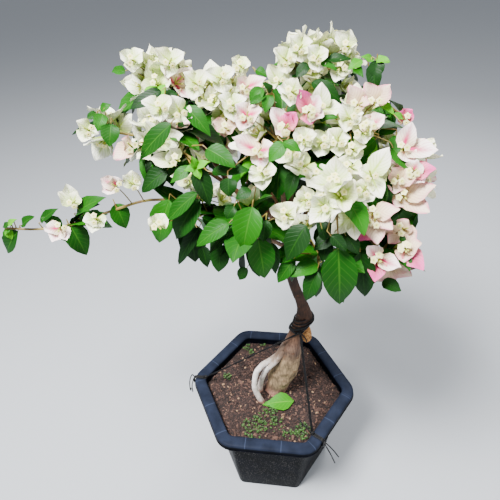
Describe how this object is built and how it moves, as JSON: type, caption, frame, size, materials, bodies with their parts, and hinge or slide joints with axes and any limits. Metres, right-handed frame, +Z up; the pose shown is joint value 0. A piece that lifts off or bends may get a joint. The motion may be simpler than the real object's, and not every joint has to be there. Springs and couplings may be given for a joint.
{
  "type": "bougainvillea bonsai in a pot",
  "caption": "Young bougainvillea trained as a small tree, with white papery bracts and green leaves on a leaning trunk with surface roots, in a hexagonal plastic pot filled with soil.",
  "frame": {"origin": "middle of the pot's flat underside", "axes": "+Z up; the pot's hexagon has corners along +X and -X and flat sides along +Y and -Y; the picture looks from the -Y side, with the long side shoot running out along -X"},
  "size_m": [0.7478, 0.4208, 0.9092],
  "materials": {
    "pot": "moulded blue-black plastic with a dull sheen, dusty on the wall",
    "soil": "loose reddish brown coir and bark crumbs, matt",
    "bark": "grey-brown bark, ochre near the soil and dark red-brown above the tie, matt",
    "root": "pale, washed surface roots, matt",
    "cut_stub": "tan bark of a cut-back shoot, matt",
    "cord": "thin black twisted plastic cord",
    "bough": "young brown bark, matt",
    "leaves": "mid green leaves, slightly glossy",
    "blooms": "papery cream-white bracts among green leaves",
    "lime_leaf": "a fallen lime green leaf"
  },
  "bodies": {
    "root": {"pot": "pot", "soil": "soil", "trunk": "bark", "root_outer": "root", "root_inner": "root", "stub": "cut_stub", "binding": "cord", "knot": "cord", "guy_left": "cord", "guy_right": "cord", "fallen_leaf": "lime_leaf", "bough_left": "bough", "bough_upper_left": "bough", "bough_left_tip": "bough", "bough_lower_left": "bough", "bough_side_shoot": "bough", "bough_top_left": "bough", "bough_middle": "bough", "bough_top_right": "bough", "bough_right": "bough", "bough_right_top": "bough", "bough_front_right": "bough", "bough_lower_right": "bough", "bough_lower_front": "bough", "bough_lower_middle": "bough", "bough_right_shoot": "bough", "bough_back_left": "bough", "bough_back": "bough", "bough_back_right": "bough", "bough_lower_back": "bough", "mass_left": "blooms", "mass_upper_left": "blooms", "mass_left_tip": "blooms", "mass_lower_left": "leaves", "mass_side_shoot": "blooms", "mass_top_left": "blooms", "mass_middle": "blooms", "mass_top_right": "blooms", "mass_right": "blooms", "mass_right_top": "blooms", "mass_front_right": "blooms", "mass_lower_right": "blooms", "mass_lower_front": "leaves", "mass_lower_middle": "leaves", "mass_right_shoot": "leaves", "mass_back_left": "blooms", "mass_back": "blooms", "mass_back_right": "blooms", "mass_lower_back": "leaves"}
  },
  "joints": []
}
